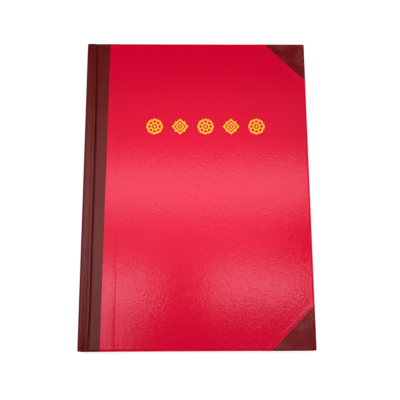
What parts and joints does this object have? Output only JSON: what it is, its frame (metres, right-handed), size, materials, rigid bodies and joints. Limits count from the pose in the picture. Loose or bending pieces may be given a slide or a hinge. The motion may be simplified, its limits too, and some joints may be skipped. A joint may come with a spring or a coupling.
{
  "type": "register book",
  "caption": "Quarter-bound hardcover register book with cloth spine and corners, paper sides, sewn sections and covers that open flat.",
  "frame": {"origin": "the middle of the closed book's footprint, on the surface that its back cover lies on", "axes": "+X from the spine to the fore-edge, +Y from the tail to the head, +Z out of the front cover"},
  "size_m": [0.1914, 0.266, 0.0162],
  "materials": {
    "side_paper": "satin-laminated red paper",
    "book_cloth": "maroon book cloth, starched, satin",
    "greyboard": "matte grey board",
    "text_paper": "matte ledger paper",
    "endpaper": "matte endpaper",
    "kraft": "matte kraft paper",
    "mull": "open cotton gauze",
    "headband": "woven band"
  },
  "bodies": {
    "back_cover": {"back_board": "greyboard", "back_side_paper": "side_paper", "back_corner_head": "book_cloth", "back_corner_tail": "book_cloth", "back_spine_strip": "book_cloth", "back_pastedown": "endpaper"},
    "spine": {"spine_board": "greyboard", "spine_cloth": "book_cloth", "spine_lining": "kraft", "mull": "mull", "headband_head": "headband", "headband_tail": "headband"},
    "front_cover": {"front_board": "greyboard", "front_side_paper": "side_paper", "front_corner_head": "book_cloth", "front_corner_tail": "book_cloth", "front_spine_strip": "book_cloth", "front_pastedown": "endpaper"},
    "front_flyleaf": {"front_flyleaf": "endpaper"},
    "section_01": {"section_01": "text_paper"},
    "section_02": {"section_02": "text_paper"},
    "section_03": {"section_03": "text_paper"},
    "section_04": {"section_04": "text_paper"},
    "section_05": {"section_05": "text_paper"},
    "section_06": {"section_06": "text_paper"},
    "section_07": {"section_07": "text_paper"},
    "section_08": {"section_08": "text_paper"},
    "section_09": {"section_09": "text_paper"},
    "section_10": {"section_10": "text_paper"},
    "section_11": {"section_11": "text_paper"},
    "section_12": {"section_12": "text_paper"},
    "back_flyleaf": {"back_flyleaf": "endpaper"}
  },
  "joints": [
    {"name": "back_joint", "type": "hinge", "parent": "back_cover", "child": "spine", "pos_m": [-0.0943, 0, 0.0015], "axis": [0, -1, 0], "range_deg": [0, 90]},
    {"name": "front_joint", "type": "hinge", "parent": "spine", "child": "front_cover", "pos_m": [-0.0943, 0, 0.01467], "axis": [0, -1, 0], "range_deg": [0, 90]},
    {"name": "front_flyleaf_fold", "type": "hinge", "parent": "back_cover", "child": "front_flyleaf", "pos_m": [-0.09335, 0, 0.00809], "axis": [0, -1, 0], "range_deg": [0, 172.5]},
    {"name": "section_01_fold", "type": "hinge", "parent": "back_cover", "child": "section_01", "pos_m": [-0.09335, 0, 0.00809], "axis": [0, -1, 0], "range_deg": [0, 159.9]},
    {"name": "section_02_fold", "type": "hinge", "parent": "back_cover", "child": "section_02", "pos_m": [-0.09335, 0, 0.00809], "axis": [0, -1, 0], "range_deg": [0, 147.3]},
    {"name": "section_03_fold", "type": "hinge", "parent": "back_cover", "child": "section_03", "pos_m": [-0.09335, 0, 0.00809], "axis": [0, -1, 0], "range_deg": [0, 134.7]},
    {"name": "section_04_fold", "type": "hinge", "parent": "back_cover", "child": "section_04", "pos_m": [-0.09335, 0, 0.00809], "axis": [0, -1, 0], "range_deg": [0, 122]},
    {"name": "section_05_fold", "type": "hinge", "parent": "back_cover", "child": "section_05", "pos_m": [-0.09335, 0, 0.00809], "axis": [0, -1, 0], "range_deg": [0, 109.4]},
    {"name": "section_06_fold", "type": "hinge", "parent": "back_cover", "child": "section_06", "pos_m": [-0.09335, 0, 0.00809], "axis": [0, -1, 0], "range_deg": [0, 96.8]},
    {"name": "section_07_fold", "type": "hinge", "parent": "back_cover", "child": "section_07", "pos_m": [-0.09335, 0, 0.00809], "axis": [0, -1, 0], "range_deg": [0, 84.2]},
    {"name": "section_08_fold", "type": "hinge", "parent": "back_cover", "child": "section_08", "pos_m": [-0.09335, 0, 0.00809], "axis": [0, -1, 0], "range_deg": [0, 71.6]},
    {"name": "section_09_fold", "type": "hinge", "parent": "back_cover", "child": "section_09", "pos_m": [-0.09335, 0, 0.00809], "axis": [0, -1, 0], "range_deg": [0, 59]},
    {"name": "section_10_fold", "type": "hinge", "parent": "back_cover", "child": "section_10", "pos_m": [-0.09335, 0, 0.00809], "axis": [0, -1, 0], "range_deg": [0, 46.3]},
    {"name": "section_11_fold", "type": "hinge", "parent": "back_cover", "child": "section_11", "pos_m": [-0.09335, 0, 0.00809], "axis": [0, -1, 0], "range_deg": [0, 33.7]},
    {"name": "section_12_fold", "type": "hinge", "parent": "back_cover", "child": "section_12", "pos_m": [-0.09335, 0, 0.00809], "axis": [0, -1, 0], "range_deg": [0, 21.1]},
    {"name": "back_flyleaf_fold", "type": "hinge", "parent": "back_cover", "child": "back_flyleaf", "pos_m": [-0.09335, 0, 0.00809], "axis": [0, -1, 0], "range_deg": [0, 8.5]}
  ],
  "couplings": [
    {"joint": "front_joint", "follows": "back_joint", "ratio": 1},
    {"joint": "front_flyleaf_fold", "follows": "back_joint", "ratio": 1.9111},
    {"joint": "section_01_fold", "follows": "back_joint", "ratio": 1.7709},
    {"joint": "section_02_fold", "follows": "back_joint", "ratio": 1.6308},
    {"joint": "section_03_fold", "follows": "back_joint", "ratio": 1.4906},
    {"joint": "section_04_fold", "follows": "back_joint", "ratio": 1.3504},
    {"joint": "section_05_fold", "follows": "back_joint", "ratio": 1.2103},
    {"joint": "section_06_fold", "follows": "back_joint", "ratio": 1.0701},
    {"joint": "section_07_fold", "follows": "back_joint", "ratio": 0.9299},
    {"joint": "section_08_fold", "follows": "back_joint", "ratio": 0.7897},
    {"joint": "section_09_fold", "follows": "back_joint", "ratio": 0.6496},
    {"joint": "section_10_fold", "follows": "back_joint", "ratio": 0.5094},
    {"joint": "section_11_fold", "follows": "back_joint", "ratio": 0.3692},
    {"joint": "section_12_fold", "follows": "back_joint", "ratio": 0.2291},
    {"joint": "back_flyleaf_fold", "follows": "back_joint", "ratio": 0.0889}
  ]
}
